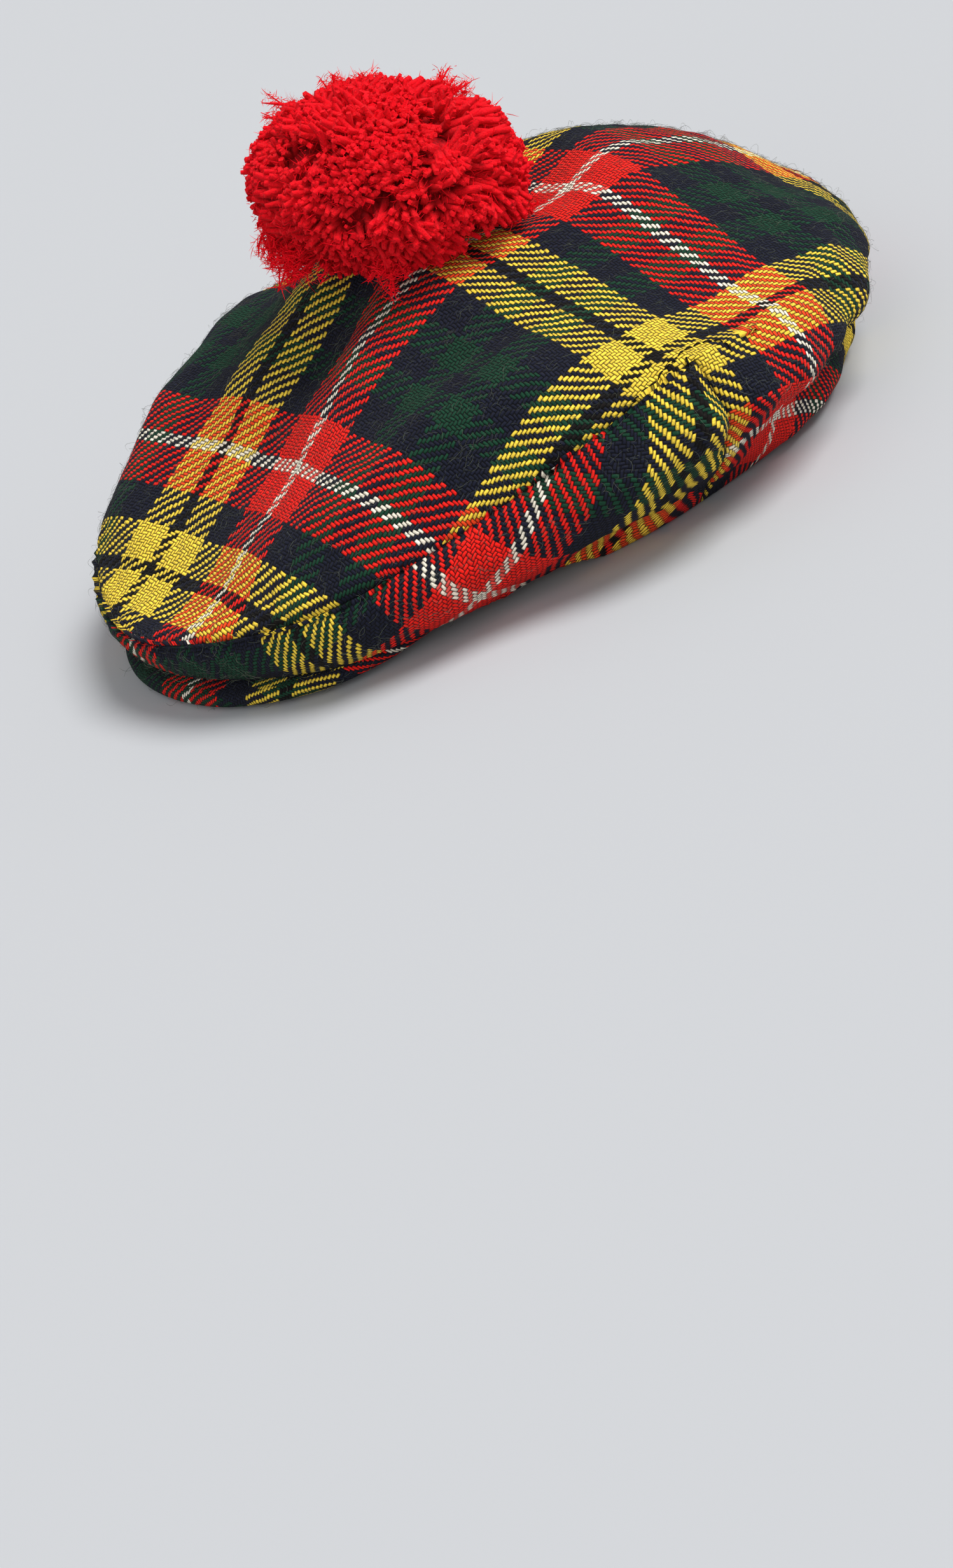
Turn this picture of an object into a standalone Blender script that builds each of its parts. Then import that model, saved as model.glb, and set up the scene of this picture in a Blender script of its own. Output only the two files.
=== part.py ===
"""A tartan flat cap with a short peak and a yarn pompom, resting on a surface by itself.

Metres, +Z up.  The peak points to -Y and the wearer's left is +X.  The origin lies on the surface
that the cap rests on, under the middle of the cap's length and width.  The shape is worked out
from the middle of the crown, where the pompom is sewn on, and moved there at the end.
Directions are degrees round the crown from the front towards +X.
"""
import math
import random
from collections import namedtuple

import bmesh
import bpy
from mathutils import Matrix, Vector
from mathutils.bvhtree import BVHTree

# Crown: reach of its edge from the middle, height, and how far the cloth rolls out past the edge.
CROWN_FRONT = 0.130
CROWN_BACK = 0.124
CROWN_HALF_WIDTH = 0.109
CROWN_HEIGHT = 0.081
ROLL = 0.012
CLOTH = 0.002

# Head opening: half axes of its rim, how far its middle lies behind the crown's, and its lift.
OPENING_HALF_WIDTH = 0.078
OPENING_HALF_LENGTH = 0.096
OPENING_BACK = 0.012
RIM_LIFT = 0.002

# Peak: depth in front of the head opening, thickness, and how much its inner edge and its
# horns at the sides are raised above its front edge.
PEAK_DEPTH = 0.045
PEAK_THICKNESS = 0.005
PEAK_RISE = 0.008
HORN_RISE = 0.005

# Pompom: width, height, how far its foot is pressed flat, its lean in degrees to the back and
# left, and the length of its locks of yarn with how much they narrow to their tips.
POMPOM_WIDTH = 0.086
POMPOM_HEIGHT = 0.054
POMPOM_SINK = 0.009
POMPOM_LEAN = 18.0
POMPOM_LEAN_TOWARDS = 148.0
LOCK_LENGTH = 0.009
LOCK_TAPER = 0.8

# Clearance between pieces that lie on each other, and along seams, whose mitred edges slant.
GAP = 0.0003
SEAM_GAP = GAP * 2

# Crown sections, 30 degrees apart from front to back: the edge's place as shares of
# CROWN_HALF_WIDTH and of CROWN_FRONT or CROWN_BACK, then heights as shares of CROWN_HEIGHT.
Section = namedtuple("Section", "direction side length crest slope shoulder seam")
SECTIONS = (
    Section(0, 0.000, -1.000, 0.77, 0.53, 0.31, 0.28),
    Section(30, 0.555, -0.806, 0.89, 0.67, 0.53, 0.33),
    Section(60, 0.800, -0.382, 0.94, 0.78, 0.68, 0.43),
    Section(90, 0.985, 0.000, 0.94, 0.79, 0.67, 0.60),
    Section(120, 0.880, 0.446, 0.94, 0.80, 0.59, 0.53),
    Section(150, 0.531, 0.808, 0.90, 0.93, 0.67, 0.55),
    Section(180, 0.000, 1.000, 0.91, 0.96, 0.71, 0.51),
)
SECTION_STEP = 30.0

# Shares of the way from the middle to the edge where the heights above are read.
CREST_AT = 0.30
SLOPE_AT = 0.60
SHOULDER_AT = 0.87

# Roll below the edge: distances past the edge as shares of ROLL, heights as shares of the edge's.
Roll = namedtuple("Roll", "direction bulge bulge_high crease crease_high swell swell_high")
ROLLS = (
    Roll(0, 0.00, 0.78, -0.12, 0.58, -0.35, 0.42),
    Roll(30, 0.10, 0.76, 0.00, 0.50, -0.30, 0.34),
    Roll(60, 0.40, 0.66, 0.00, 0.38, -0.75, 0.20),
    Roll(90, 0.85, 0.62, 0.05, 0.37, -0.95, 0.20),
    Roll(120, 0.80, 0.60, -0.30, 0.38, -0.35, 0.14),
    Roll(150, 1.00, 0.60, 0.20, 0.38, 0.15, 0.15),
    Roll(180, 0.85, 0.60, 0.10, 0.38, 0.15, 0.16),
)
SOLE_AT = 0.55

# The roll comes off the peak in a ramp: its length past the outer edge, its turn in degrees past
# the horns, and the share of either that stays level.
RAMP = PEAK_THICKNESS * 2
RAMP_TURN = 16.0
RAMP_LEVEL = 0.4

# Folds below the edge: direction, spread in degrees, depth as a share of ROLL, and the stretch
# of the way from edge to rim that the fold covers.
Fold = namedtuple("Fold", "direction spread depth start end")
FOLDS = (
    Fold(95, 5, 0.32, 0.00, 0.55),
    Fold(84, 5, 0.10, 0.05, 0.50),
    Fold(128, 6, 0.14, 0.00, 0.45),
    Fold(160, 7, 0.12, 0.05, 0.45),
)

# Peak: its depth as shares of PEAK_DEPTH by direction.
Depth = namedtuple("Depth", "direction share")
PEAK_DEPTHS = (Depth(0, 1.00), Depth(15, 0.96), Depth(30, 0.78), Depth(42, 0.42), Depth(54, 0.08))
HORN_END = PEAK_DEPTHS[-1].direction

# Mesh fineness, and the spoke that the dart's seam lies on.
SPOKES = 72
DART_SPOKE = 19
DOME_ROWS = (0.12, 0.26, 0.40, 0.52, 0.64, 0.76, 0.87, 0.95, 1.00)
ROLL_ROWS = 12
SEAM_ROW = len(DOME_ROWS) - 1
RIM_ROW = SEAM_ROW + ROLL_ROWS
PEAK_COLUMNS = 30
PEAK_ROWS = 5

# Behind the dart the top cloth rolls over with no corner, which fades out between these.
CORNER_ENDS = DART_SPOKE * 360.0 / SPOKES
ROUND_FROM = CORNER_ENDS + 30.0

# A mitred corner of the wall is drawn in by no more than this many wall thicknesses.
MITRE_LIMIT = 1.4

RED_CLOTH = (0.30, 0.045, 0.04)
GREEN_CLOTH = (0.035, 0.05, 0.045)
RED_YARN = (0.42, 0.02, 0.03)


def smooth_step(share):
    share = min(max(share, 0.0), 1.0)
    return share * share * (3.0 - 2.0 * share)


def closed_spline(values, position):
    """Read a smooth closed curve through evenly spaced vectors, at a position in steps."""
    index = math.floor(position)
    share = position - index
    a, b, c, d = (values[(index + k) % len(values)] for k in (-1, 0, 1, 2))
    return tuple(
        0.5 * (2 * q + (r - p) * share + (2 * p - 5 * q + 4 * r - s) * share ** 2
               + (3 * q - p - 3 * r + s) * share ** 3)
        for p, q, r, s in zip(a, b, c, d))


def slopes_through(knots, values, first):
    """Slopes for a cubic through values: each is the mean of its two spans, weighted by nearness."""
    spans = [(values[k + 1] - values[k]) / (knots[k + 1] - knots[k]) for k in range(len(knots) - 1)]
    slopes = [first]
    for k in range(1, len(spans)):
        before = knots[k] - knots[k - 1]
        after = knots[k + 1] - knots[k]
        slopes.append((spans[k - 1] * after + spans[k] * before) / (before + after))
    slopes.append(spans[-1] * 1.5 - slopes[-1] * 0.5)
    return slopes


def cubic(knots, values, slopes, at):
    """Read the cubic with these values and slopes at its knots."""
    span = 0
    while span < len(knots) - 2 and at > knots[span + 1]:
        span += 1
    width = knots[span + 1] - knots[span]
    t = (at - knots[span]) / width
    return (values[span] * ((1 + 2 * t) * (1 - t) ** 2)
            + values[span + 1] * (t * t * (3 - 2 * t))
            + slopes[span] * (width * t * (1 - t) ** 2)
            + slopes[span + 1] * (width * t * t * (t - 1)))


def placed_section(row):
    """A crown section's shares turned into metres."""
    reach = CROWN_FRONT if row.length < 0 else CROWN_BACK
    heights = (row.crest, row.slope, row.shoulder, row.seam)
    return (row.side * CROWN_HALF_WIDTH, row.length * reach) + tuple(h * CROWN_HEIGHT for h in heights)


def all_round(rows, place):
    """Mirror the rows of one side to the other side, in order round the cap."""
    near = [place(row) for row in rows]
    far = [(-row[0],) + row[1:] for row in near[-2:0:-1]]
    return near + far


CROWN_ROUND = all_round(SECTIONS, placed_section)
ROLL_ROUND = all_round(ROLLS, lambda row: (0.0,) + tuple(row[1:]))


def opening_reach(direction):
    """Distance from the crown's middle to the rim of the head opening."""
    angle = math.radians(direction)
    across = math.sin(angle) / OPENING_HALF_WIDTH
    along = -math.cos(angle) / OPENING_HALF_LENGTH
    shift = OPENING_BACK / OPENING_HALF_LENGTH
    square = across ** 2 + along ** 2
    cross = -along * shift
    return (-cross + math.sqrt(cross ** 2 - square * (shift ** 2 - 1))) / square


def off_front(direction):
    """How many degrees a direction lies away from the front, on either side."""
    return abs((direction + 180.0) % 360.0 - 180.0)


def peak_depth(direction):
    """Depth of the peak, which narrows to a horn on each side."""
    knots = [row.direction for row in PEAK_DEPTHS]
    values = [row.share for row in PEAK_DEPTHS]
    turn = min(off_front(direction), HORN_END)
    return PEAK_DEPTH * cubic(knots, values, slopes_through(knots, values, 0.0), turn)


def peak_under(direction, reach):
    """Height of the peak's underside: its front edge rests, and it rises to the rim and horns."""
    share = (opening_reach(direction) + peak_depth(direction) - reach) / PEAK_DEPTH
    inwards = math.sin(min(max(share, 0.0), 1.0) * math.pi / 2)
    sideways = min(off_front(direction) / HORN_END, 1.0) ** 2
    return PEAK_RISE * inwards + HORN_RISE * sideways


def floor_under(direction, reach):
    """Height of what the roll lies on: the peak, the surface, or a ramp between the two."""
    outwards = (reach - opening_reach(direction) - peak_depth(direction)) / RAMP
    round_horn = (off_front(direction) - HORN_END) / RAMP_TURN
    top = peak_under(direction, reach) + PEAK_THICKNESS + SEAM_GAP
    return top * (1.0 - smooth_step(outwards - RAMP_LEVEL)) * (1.0 - smooth_step(round_horn - RAMP_LEVEL))


def along(direction, reach, height):
    """The point at this reach and height in a direction."""
    angle = math.radians(direction)
    return Vector((reach * math.sin(angle), -reach * math.cos(angle), height))


def dome_row(direction):
    """Edge place and heights of the crown in a direction, with the cubic through the heights."""
    x, y, crest, slope, shoulder, seam = closed_spline(CROWN_ROUND, direction / SECTION_STEP)
    knots = (0.0, CREST_AT, SLOPE_AT, SHOULDER_AT, 1.0)
    values = (CROWN_HEIGHT, crest, slope, shoulder, seam)
    return x, y, knots, values, slopes_through(knots, values, 0.0)


def dome_point(direction, share):
    """Outer point of the crown at a share of the way from the middle to the edge."""
    x, y, knots, values, slopes = dome_row(direction)
    return Vector((x * share, y * share, cubic(knots, values, slopes, share)))


def fold_depth(direction, share):
    """How far the folds pull the roll in at a direction and a share of the way to the rim."""
    depth = 0.0
    for fold in FOLDS:
        across = smooth_step(1.0 - abs(off_front(direction) - fold.direction) / fold.spread)
        middle = (fold.start + fold.end) / 2
        reach = (fold.end - fold.start) / 2
        depth += fold.depth * ROLL * across * smooth_step(1.5 * (1.0 - abs(share - middle) / reach))
    return depth


def roll_curve(direction):
    """Knots, points and slopes of the roll, from the crown's edge down and under to the rim."""
    x, y, knots, heights, dome_slopes = dome_row(direction)
    edge = Vector((x, y, heights[-1]))
    outward = Vector((x, y, 0.0)).normalized()
    _, bulge, bulge_high, crease, crease_high, swell, swell_high = closed_spline(ROLL_ROUND, direction / SECTION_STEP)
    turn = math.degrees(math.atan2(x, -y))
    rim = along(turn, opening_reach(turn), RIM_LIFT)
    points = [edge]
    for out, high in ((bulge, bulge_high), (crease, crease_high), (swell, swell_high)):
        points.append(edge + outward * (out * ROLL) - Vector((0, 0, edge.z * (1.0 - high))))
    sole = rim.lerp(points[-1], 1.0 - SOLE_AT)
    points += [Vector((sole.x, sole.y, 0.0)), rim]
    lengths = [0.0]
    for start, end in zip(points, points[1:]):
        lengths.append(lengths[-1] + (end - start).length)
    corner = (points[1] - points[0]).normalized()
    over = Vector((x, y, dome_slopes[-1])).normalized()
    smooth = smooth_step((off_front(direction) - CORNER_ENDS) / (ROUND_FROM - CORNER_ENDS))
    first = corner.lerp(over, smooth).normalized()
    return lengths, points, slopes_through(lengths, points, first)


def roll_point(direction, share):
    """Outer point of the roll at a share of the way from the crown's edge to the rim."""
    lengths, points, slopes = roll_curve(direction)
    point = cubic(lengths, points, slopes, lengths[-1] * share)
    outward = Vector((point.x, point.y, 0.0)).normalized()
    point -= outward * fold_depth(direction, share)
    turn = math.degrees(math.atan2(point.x, -point.y))
    reach = math.hypot(point.x, point.y)
    point.z = max(point.z, floor_under(turn, reach))
    return point


def crown_point(spoke, row):
    """Outer point of the whole crown on a spoke and a row counted from the middle."""
    direction = spoke * 360.0 / SPOKES
    if row <= SEAM_ROW:
        return dome_point(direction, DOME_ROWS[row])
    return roll_point(direction, (row - SEAM_ROW) / ROLL_ROWS)


def grown_sheet(spokes, rows, place, closed):
    """A sheet grown row by row, with each vertex keeping the spoke and the row that it lies on."""
    sheet = bmesh.new()
    spoke_of = sheet.verts.layers.int.new("spoke")
    row_of = sheet.verts.layers.int.new("row")
    line = []
    for spoke in range(spokes):
        vertex = sheet.verts.new(place(spoke, 0))
        vertex[spoke_of] = spoke
        line.append(vertex)
    edges = [sheet.edges.new(pair) for pair in zip(line, line[1:])]
    if closed:
        edges.append(sheet.edges.new((line[-1], line[0])))
    for row in range(1, rows):
        grown = bmesh.ops.extrude_edge_only(sheet, edges=edges)["geom"]
        edges = [item for item in grown if isinstance(item, bmesh.types.BMEdge)]
        fresh = {item for item in grown if isinstance(item, bmesh.types.BMVert)}
        edges = [edge for edge in edges if set(edge.verts) <= fresh]
        for vertex in fresh:
            vertex[row_of] = row
            vertex.co = place(vertex[spoke_of], row)
    return sheet


def crown_sheet():
    """The outer face of the whole crown: dome, roll and turned-under rim."""
    sheet = grown_sheet(SPOKES, RIM_ROW + 1, crown_point, closed=True)
    row_of = sheet.verts.layers.int["row"]
    first = [edge for edge in sheet.edges if edge.is_boundary and edge.verts[0][row_of] == 0]
    cap = bmesh.ops.holes_fill(sheet, edges=first, sides=SPOKES)["faces"]
    middle = bmesh.ops.poke(sheet, faces=cap)["verts"][0]
    middle.co = (0.0, 0.0, CROWN_HEIGHT)
    middle[row_of] = -1
    bmesh.ops.recalc_face_normals(sheet, faces=sheet.faces)
    sheet.normal_update()
    if middle.normal.z < 0:
        bmesh.ops.reverse_faces(sheet, faces=sheet.faces)
        sheet.normal_update()
    return sheet


def spokes_off_front(spoke):
    """How many spokes a spoke lies away from the front, on either side."""
    return min(spoke, SPOKES - spoke)


def in_side_band(face, spoke_of, row_of):
    """Whether a face lies below the edge and in front of the darts."""
    below = all(vertex[row_of] >= SEAM_ROW for vertex in face.verts)
    return below and all(spokes_off_front(vertex[spoke_of]) <= DART_SPOKE for vertex in face.verts)


def add_wall(sheet):
    """Give a sheet its thickness on the inside, by the inward vector that each vertex keeps."""
    inward = sheet.verts.layers.float_vector["inward"]
    grown = bmesh.ops.extrude_face_region(sheet, geom=sheet.faces[:], use_keep_orig=True)["geom"]
    for item in grown:
        if isinstance(item, bmesh.types.BMVert):
            item.co += item[inward]
    bmesh.ops.recalc_face_normals(sheet, faces=sheet.faces)


def make_material(name, colour, roughness):
    material = bpy.data.materials.new(name)
    material.use_nodes = True
    shader = material.node_tree.nodes["Principled BSDF"]
    shader.inputs["Base Color"].default_value = (*colour, 1.0)
    shader.inputs["Roughness"].default_value = roughness
    shader.inputs["Metallic"].default_value = 0.0
    return material


def make_piece(name, shape, material, smooth_angle=60.0):
    """Turn a finished bmesh into a named object."""
    mesh = bpy.data.meshes.new(name)
    shape.to_mesh(mesh)
    shape.free()
    mesh.materials.append(material)
    mesh.shade_smooth()
    mesh.set_sharp_from_angle(angle=math.radians(smooth_angle))
    piece = bpy.data.objects.new(name, mesh)
    bpy.context.scene.collection.objects.link(piece)
    return piece


def open_seams(panel, spoke_of, row_of):
    """Draw the side band's upper edge and its ends at the darts back from the top by the gap."""
    at = {(vertex[spoke_of], vertex[row_of]): vertex for vertex in panel.verts}
    moves = []
    for (spoke, row), vertex in at.items():
        if row == SEAM_ROW:
            moves.append((vertex, at[(spoke, row + 1)].co - vertex.co))
        if spokes_off_front(spoke) == DART_SPOKE:
            inner = spoke - 1 if spoke < SPOKES / 2 else spoke + 1
            moves.append((vertex, at[(inner, row)].co - vertex.co))
    for vertex, towards in moves:
        vertex.co += towards.normalized() * SEAM_GAP


def crown_panel(sheet, is_part, opened):
    """Keep one panel's faces of the crown, open its sewn edges by a gap and give it its wall."""
    panel = sheet.copy()
    spoke_of = panel.verts.layers.int["spoke"]
    row_of = panel.verts.layers.int["row"]
    others = [face for face in panel.faces if not is_part(face, spoke_of, row_of)]
    bmesh.ops.delete(panel, geom=others, context="FACES")
    if opened:
        open_seams(panel, spoke_of, row_of)
    add_wall(panel)
    return panel


def crown_pieces():
    sheet = crown_sheet()
    inward = sheet.verts.layers.float_vector.new("inward")
    for vertex in sheet.verts:
        vertex[inward] = vertex.normal * (-CLOTH * min(vertex.calc_shell_factor(), MITRE_LIMIT))
    top = crown_panel(sheet, lambda *found: not in_side_band(*found), opened=False)
    side = crown_panel(sheet, in_side_band, opened=True)
    cloth = make_material("red_tartan", RED_CLOTH, 0.9)
    make_piece("crown_top", top, cloth)
    make_piece("crown_side", side, cloth)
    return sheet


def peak_piece():
    """The stiff peak: a sheet for its underside, given thickness upwards, with rounded edges."""
    def under_point(column, row):
        direction = HORN_END * (2.0 * column / (PEAK_COLUMNS - 1) - 1.0)
        outer = opening_reach(direction) + peak_depth(direction)
        reach = outer - peak_depth(direction) * row / (PEAK_ROWS - 1)
        return along(direction, reach, peak_under(direction, reach))

    plate = grown_sheet(PEAK_COLUMNS, PEAK_ROWS, under_point, closed=False)
    inward = plate.verts.layers.float_vector.new("inward")
    for vertex in plate.verts:
        vertex[inward] = (0.0, 0.0, PEAK_THICKNESS)
    add_wall(plate)
    piece = make_piece("peak", plate, make_material("green_tartan", GREEN_CLOTH, 0.9))
    bevel = piece.modifiers.new("rounded edge", "BEVEL")
    bevel.width = PEAK_THICKNESS * 0.28
    bevel.segments = 2
    bevel.limit_method = "ANGLE"
    bevel.angle_limit = math.radians(50.0)


def pompom_piece(crown):
    """The pompom: a flattened ball of yarn locks that rests on the crown round its stitched middle."""
    surface = BVHTree.FromBMesh(crown)

    def seat_height(point):
        hit = surface.ray_cast(Vector((point.x, point.y, CROWN_HEIGHT * 2)), Vector((0, 0, -1)))[0]
        return hit.z + SEAM_GAP if hit else 0.0

    half = POMPOM_WIDTH / 2 - LOCK_LENGTH
    tall = POMPOM_HEIGHT / 2 - LOCK_LENGTH
    lean = Matrix.Rotation(math.radians(POMPOM_LEAN_TOWARDS), 4, "Z")
    lean = lean @ Matrix.Rotation(math.radians(POMPOM_LEAN), 4, "X") @ lean.inverted()
    centre = Vector((0.0, 0.0, CROWN_HEIGHT + POMPOM_HEIGHT / 2 - POMPOM_SINK))
    place = Matrix.Translation(centre) @ lean @ Matrix.Diagonal((half, half, tall, 1.0))
    ball = bmesh.new()
    bmesh.ops.create_icosphere(ball, subdivisions=3, radius=1.0, matrix=place)
    for vertex in ball.verts:
        vertex.co.z = max(vertex.co.z, seat_height(vertex.co))
    free = []
    for face in ball.faces:
        middle = face.calc_center_median()
        if middle.z > seat_height(middle) + LOCK_LENGTH * 0.4:
            free.append(face)
    locks = bmesh.ops.extrude_discrete_faces(ball, faces=free)["faces"]
    chance = random.Random(11)
    for lock in locks:
        middle = lock.calc_center_median()
        out = (middle - centre).normalized() * LOCK_LENGTH * chance.uniform(0.65, 0.95)
        for vertex in lock.verts:
            vertex.co = middle + (vertex.co - middle) * LOCK_TAPER + out
    bmesh.ops.poke(ball, faces=locks, offset=LOCK_LENGTH * 0.15)
    for vertex in ball.verts:
        vertex.co.z = max(vertex.co.z, seat_height(vertex.co))
    bmesh.ops.recalc_face_normals(ball, faces=ball.faces)
    make_piece("pompom", ball, make_material("red_yarn", RED_YARN, 0.95), smooth_angle=40.0)


def centre_on_origin(pieces):
    """Move the pieces so that the middle of their length and width is over the origin."""
    corners = [vertex.co for piece in pieces for vertex in piece.data.vertices]
    shift = Matrix.Identity(4)
    for axis in (0, 1):
        places = [corner[axis] for corner in corners]
        shift[axis][3] = -(min(places) + max(places)) / 2
    for piece in pieces:
        piece.data.transform(shift)


def build():
    for old in list(bpy.data.objects):
        bpy.data.objects.remove(old)
    crown = crown_pieces()
    peak_piece()
    pompom_piece(crown)
    crown.free()
    centre_on_origin(list(bpy.data.objects))


build()
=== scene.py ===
"""A tartan flat cap with a short peak and a red yarn pompom, resting by itself on a pale surface.

Metres, +Z up, the peak to -Y and the wearer's left at +X.  The crown, its roll and the peak follow
the same named values as the solids, and the cloth adds its seams, puckers, weave and fuzz.
Directions are degrees round the crown from the front towards +X.  Each cloth's UV map counts its
threads, which lie a millimetre apart.
"""
import math
from collections import namedtuple
from functools import partial

import bmesh
import bpy
import numpy as np
from mathutils import Matrix, Vector


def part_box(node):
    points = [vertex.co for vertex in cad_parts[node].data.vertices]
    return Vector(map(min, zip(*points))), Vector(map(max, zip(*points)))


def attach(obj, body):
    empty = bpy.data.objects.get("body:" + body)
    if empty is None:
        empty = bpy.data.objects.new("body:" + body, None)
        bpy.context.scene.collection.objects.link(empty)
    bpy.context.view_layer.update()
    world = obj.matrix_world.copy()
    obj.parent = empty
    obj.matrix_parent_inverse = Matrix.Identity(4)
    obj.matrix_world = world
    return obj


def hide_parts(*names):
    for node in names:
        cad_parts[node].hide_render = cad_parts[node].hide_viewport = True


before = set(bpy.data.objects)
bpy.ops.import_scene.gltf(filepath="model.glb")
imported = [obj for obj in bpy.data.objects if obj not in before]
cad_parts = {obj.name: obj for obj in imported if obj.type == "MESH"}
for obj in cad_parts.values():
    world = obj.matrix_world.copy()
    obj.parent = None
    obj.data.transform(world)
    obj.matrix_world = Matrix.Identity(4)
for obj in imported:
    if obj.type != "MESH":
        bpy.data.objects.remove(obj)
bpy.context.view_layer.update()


def table(columns, *rows):
    """A short table with named columns."""
    row = namedtuple("Row", columns)
    return [row(*values) for values in rows]


# Crown: reach from its middle, height, and how far the cloth rolls out past its edge.
CROWN_FRONT = 0.130
CROWN_BACK = 0.124
CROWN_HALF_WIDTH = 0.109
CROWN_HEIGHT = 0.081
ROLL = 0.012
CLOTH = 0.002

# Head opening: half axes, how far it lies behind the crown's middle, and its lift.
OPENING_HALF_WIDTH = 0.078
OPENING_HALF_LENGTH = 0.096
OPENING_BACK = 0.012
RIM_LIFT = 0.002

# Peak: depth, thickness, and the rise of its inner edge and horns.
PEAK_DEPTH = 0.045
PEAK_THICKNESS = 0.005
PEAK_RISE = 0.008
HORN_RISE = 0.005

# Pompom: width, height, how far its foot is pressed, and its lean to the back and left.
POMPOM_WIDTH = 0.086
POMPOM_HEIGHT = 0.054
POMPOM_SINK = 0.009
POMPOM_LEAN = 18.0
POMPOM_LEAN_TOWARDS = 148.0

# Room on each side of a seam, and the distance from thread to thread.
GAP = 0.0003
SEAM_GAP = GAP * 2
THREAD = 0.001

# Crown sections, 30 degrees apart from front to back: the edge's place as shares of
# CROWN_HALF_WIDTH and of CROWN_FRONT or CROWN_BACK, then heights as shares of CROWN_HEIGHT.
SECTIONS = table(
    "direction side length crest slope shoulder seam",
    (0, 0.000, -1.000, 0.77, 0.53, 0.31, 0.28),
    (30, 0.555, -0.806, 0.89, 0.67, 0.53, 0.33),
    (60, 0.800, -0.382, 0.94, 0.78, 0.68, 0.43),
    (90, 0.985, 0.000, 0.94, 0.79, 0.67, 0.60),
    (120, 0.880, 0.446, 0.94, 0.80, 0.59, 0.53),
    (150, 0.531, 0.808, 0.90, 0.93, 0.67, 0.55),
    (180, 0.000, 1.000, 0.91, 0.96, 0.71, 0.51),
)
SECTION_STEP = 30.0
CREST_AT = 0.30
SLOPE_AT = 0.60
SHOULDER_AT = 0.87

# Roll below the edge: distances past the edge as shares of ROLL, heights as shares of the edge's.
ROLLS = table(
    "direction bulge bulge_high crease crease_high swell swell_high",
    (0, 0.00, 0.78, -0.12, 0.58, -0.35, 0.42),
    (30, 0.10, 0.76, 0.00, 0.50, -0.30, 0.34),
    (60, 0.40, 0.66, 0.00, 0.38, -0.75, 0.20),
    (90, 0.85, 0.62, 0.05, 0.37, -0.95, 0.20),
    (120, 0.80, 0.60, -0.30, 0.38, -0.35, 0.14),
    (150, 1.00, 0.60, 0.20, 0.38, 0.15, 0.15),
    (180, 0.85, 0.60, 0.10, 0.38, 0.15, 0.16),
)

# Where the roll rests, as a share of the way on to the rim, and the ramp from the peak down to
# the surface: length, degrees past the horns, and the share that stays level.
SOLE_AT = 0.55
RAMP = PEAK_THICKNESS * 2
RAMP_TURN = 16.0
RAMP_LEVEL = 0.4

# Folds below the edge: direction, spread in degrees, depth as a share of ROLL, and the stretch
# of the way from edge to rim that the fold covers.
FOLDS = table(
    "direction spread depth start end",
    (95, 5, 0.32, 0.00, 0.55),
    (84, 5, 0.10, 0.05, 0.50),
    (128, 6, 0.14, 0.00, 0.45),
    (160, 7, 0.12, 0.05, 0.45),
)

# Peak: its depth as shares of PEAK_DEPTH by direction.
PEAK_DEPTHS = table("direction share", (0, 1.00), (15, 0.96), (30, 0.78), (42, 0.42), (54, 0.08))
HORN_END = PEAK_DEPTHS[-1].direction

# The darts end the side band. Behind them the top cloth rolls over with no corner.
DART = 95.0
ROUND_FROM = DART + 30.0

# Fineness: columns round the crown, rows over the dome and down the roll.
COLUMNS = 432
DOME_ROWS = 60
ROLL_ROWS = 52

# Rows lie closer together near the crown's edge, where the seam is.
ROWS_GATHER = 1.4

# Middle of the crown, where the pompom is sewn on.
MIDDLE = Vector((0.0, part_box("crown_top")[0].y + CROWN_FRONT, 0.0))

# Sett of the tartan, the same both ways: yarn and number of threads.
SETT = table(
    "yarn threads",
    ("yellow", 12), ("black", 4), ("yellow", 12), ("navy", 12),
    ("red", 14), ("white", 4), ("red", 14), ("navy", 12),
    ("green", 10), ("navy", 8), ("green", 10), ("navy", 12),
)
REPEAT = sum(stripe.threads for stripe in SETT)
YARNS = {
    "yellow": (0.97, 0.83, 0.27),
    "black": (0.07, 0.055, 0.05),
    "navy": (0.09, 0.10, 0.16),
    "red": (0.93, 0.115, 0.08),
    "white": (0.96, 0.92, 0.84),
    "green": (0.075, 0.23, 0.16),
}

# Thread counts at the top cloth's middle and at the side band's front seam.
TOP_THREADS = (135.0, 33.6)
BAND_THREADS = (96.7, -64.0)

# Millimetres of seam that the band's grain is read over, each way from the front.
SEAM_HALF = 200.0

# The side band is cut on a curve: by millimetres along the seam, the degrees that its weave is
# turned against it, and threads in each millimetre.
GRAINS = table(
    "along turn pace",
    (-190, -85, 1.08), (-100, -43, 1.10), (-50, -25, 1.25), (0, -9, 1.30),
    (50, 7, 1.25), (100, 26, 1.08), (140, 42, 1.04), (190, 67, 1.04),
)


def smooth_step(share):
    share = np.clip(share, 0.0, 1.0)
    return share * share * (3.0 - 2.0 * share)


def unit(vectors):
    """The same ways, each one long."""
    return vectors / np.linalg.norm(vectors, axis=-1, keepdims=True)


def run_lengths(points, axis=0):
    """Length along each row or column of points, from its start."""
    steps = np.linalg.norm(np.diff(points, axis=axis), axis=-1)
    return np.insert(steps.cumsum(axis), 0, 0.0, axis=axis)


def closed_spline(values, position):
    """Read a smooth closed curve through evenly spaced rows."""
    index = np.floor(position).astype(int)
    share = (position - index)[:, None]
    before, here, after, last = (values[(index + step) % len(values)] for step in (-1, 0, 1, 2))
    return 0.5 * (2 * here + (after - before) * share
                  + (2 * before - 5 * here + 4 * after - last) * share ** 2
                  + (3 * here - before - 3 * after + last) * share ** 3)


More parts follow.
